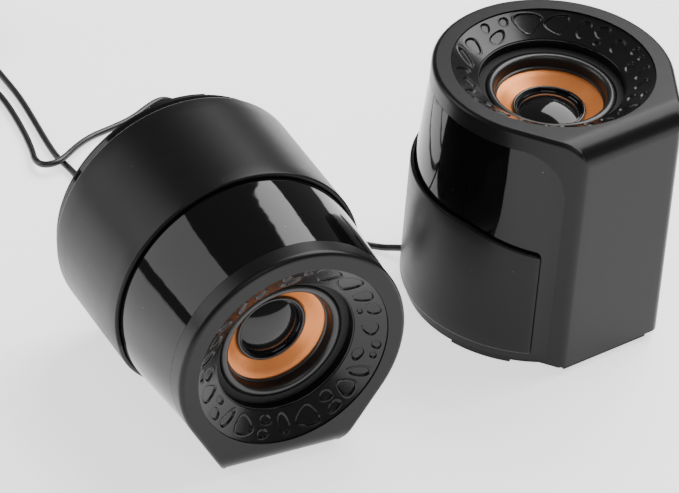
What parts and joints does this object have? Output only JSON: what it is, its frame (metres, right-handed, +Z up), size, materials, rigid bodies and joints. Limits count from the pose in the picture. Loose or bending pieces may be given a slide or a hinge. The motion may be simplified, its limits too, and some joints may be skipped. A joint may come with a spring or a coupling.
{
  "type": "pair of desktop speakers",
  "caption": "Round-fronted desktop speakers with funnel grilles and sprung cones: a master lying on its sole with volume knob and leads, and a satellite standing on its back.",
  "frame": {"origin": "on the table top, at the middle of the box round the two cabinets", "axes": "+Z up; +X along the row of two, from the master to the satellite; -Y towards the side both speakers are seen from"},
  "size_m": [0.3017, 0.2693, 0.0955],
  "materials": {
    "front_bezel": "gloss black",
    "funnel_trim": "gloss black, moulded pockets",
    "barrel": "high gloss black",
    "rear_sleeve": "fine satin black",
    "rear_cover": "satin black",
    "gasket": "foam rubber",
    "basket": "pressed steel",
    "surround": "matte black rubber",
    "cone": "copper-coloured satin",
    "dust_cap": "gloss black dome",
    "coil_former": "wound paper",
    "coil_winding": "enamelled copper wire",
    "spider": "resin-treated cloth",
    "top_plate": "zinc-plated",
    "magnet": "ferrite",
    "yoke": "zinc-plated",
    "terminal_strip": "phenolic board",
    "cover_screws": "blackened",
    "small_screw": "plated",
    "inner_leads": "insulated wire",
    "amp_board": "solder-masked board",
    "amp_chip": "moulded",
    "capacitors": "shrink sleeve",
    "volume_pot": "plated",
    "volume_knob": "satin black",
    "gland": "soft black",
    "lead_jacket": "soft black",
    "plug_body": "soft black",
    "usb_plug_shell": "nickel-plated",
    "audio_plug_pin": "gold-plated",
    "link_jacket": "soft black",
    "coil_ties": "plastic-coated wire"
  },
  "bodies": {
    "cabinets": {"front_bezel_left": "front_bezel", "funnel_trim_left": "funnel_trim", "barrel_left": "barrel", "rear_sleeve_left": "rear_sleeve", "rear_cover_left": "rear_cover", "gasket_left": "gasket", "basket_left": "basket", "surround_left": "surround", "spider_left": "spider", "top_plate_left": "top_plate", "magnet_left": "magnet", "yoke_left": "yoke", "terminal_strip_left": "terminal_strip", "front_bezel_right": "front_bezel", "funnel_trim_right": "funnel_trim", "barrel_right": "barrel", "rear_sleeve_right": "rear_sleeve", "rear_cover_right": "rear_cover", "gasket_right": "gasket", "basket_right": "basket", "surround_right": "surround", "spider_right": "spider", "top_plate_right": "top_plate", "magnet_right": "magnet", "yoke_right": "yoke", "terminal_strip_right": "terminal_strip", "cover_screws": "cover_screws", "driver_screws": "small_screw", "inner_leads": "inner_leads", "amp_board": "amp_board", "board_screws": "small_screw", "amp_chip": "amp_chip", "capacitors": "capacitors", "volume_pot": "volume_pot", "lead_gland": "gland", "aux_gland": "gland", "link_gland_left": "gland", "link_gland_right": "gland", "usb_cord": "lead_jacket", "usb_coil": "lead_jacket", "usb_plug_body": "plug_body", "usb_plug_shell": "usb_plug_shell", "audio_cord": "lead_jacket", "audio_coil": "lead_jacket", "audio_plug_body": "plug_body", "audio_plug_pin": "audio_plug_pin", "link_cord": "link_jacket", "link_coil": "link_jacket", "coil_ties": "coil_ties"},
    "cone_left": {"cone_left": "cone", "dust_cap_left": "dust_cap", "coil_former_left": "coil_former", "coil_winding_left": "coil_winding"},
    "cone_right": {"cone_right": "cone", "dust_cap_right": "dust_cap", "coil_former_right": "coil_former", "coil_winding_right": "coil_winding"},
    "knob": {"volume_knob": "volume_knob"}
  },
  "joints": [
    {"name": "cone_left_travel", "type": "slide", "parent": "cabinets", "child": "cone_left", "axis": [0.5, -0.866, 0], "range_m": [-0.0015, 0.0015], "stiffness_N_per_m": 900, "deforming": ["surround_left", "spider_left"]},
    {"name": "cone_right_travel", "type": "slide", "parent": "cabinets", "child": "cone_right", "axis": [0, 0, 1], "range_m": [-0.0015, 0.0015], "stiffness_N_per_m": 900, "deforming": ["surround_right", "spider_right"]},
    {"name": "volume_turn", "type": "hinge", "parent": "cabinets", "child": "knob", "pos_m": [-0.06775, 0.01514, 0.0565], "axis": [-0.5, 0.866, 0], "range_deg": [-140, 140]}
  ]
}
